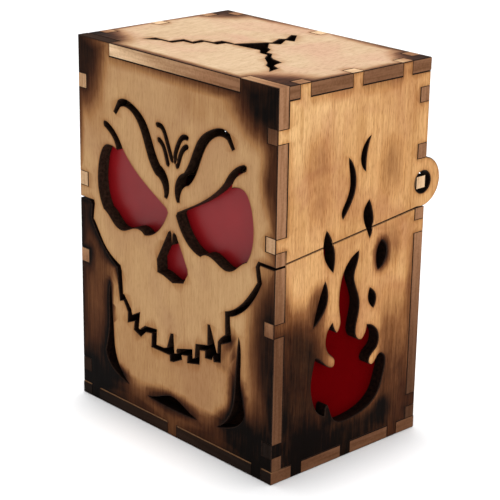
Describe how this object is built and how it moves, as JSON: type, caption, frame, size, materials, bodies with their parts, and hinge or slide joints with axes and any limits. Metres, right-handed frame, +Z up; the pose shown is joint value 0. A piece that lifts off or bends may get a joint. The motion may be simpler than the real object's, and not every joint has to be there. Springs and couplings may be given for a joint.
{
  "type": "card deck box",
  "caption": "Flip-top deck box of finger-jointed laser-cut plywood, with a cut-out skull front, flame sides and red windows; the lid tips back on tabs.",
  "frame": {"origin": "centre of the base's underside", "axes": "+Z up, -Y towards the skull front, +Y towards the hinge, X across the front"},
  "size_m": [0.078, 0.0595, 0.104],
  "materials": {
    "birch_ply": "bare birch plywood, laser-cut, shaded dark at the edges",
    "red_acrylic": "glossy red acrylic sheet"
  },
  "bodies": {
    "body": {"body_front_panel": "birch_ply", "body_back_panel": "birch_ply", "body_left_side_panel": "birch_ply", "body_right_side_panel": "birch_ply", "bottom_panel": "birch_ply", "left_flame_inlay": "red_acrylic", "right_flame_inlay": "red_acrylic"},
    "lid": {"lid_front_panel": "birch_ply", "lid_back_panel": "birch_ply", "lid_left_side_panel": "birch_ply", "lid_right_side_panel": "birch_ply", "lid_top_panel": "birch_ply", "lid_eye_inlay": "red_acrylic"}
  },
  "joints": [
    {"name": "lid_hinge", "type": "hinge", "parent": "body", "child": "lid", "pos_m": [0, 0.0258, 0.0708], "axis": [-1, 0, 0], "range_deg": [0, 155]}
  ]
}
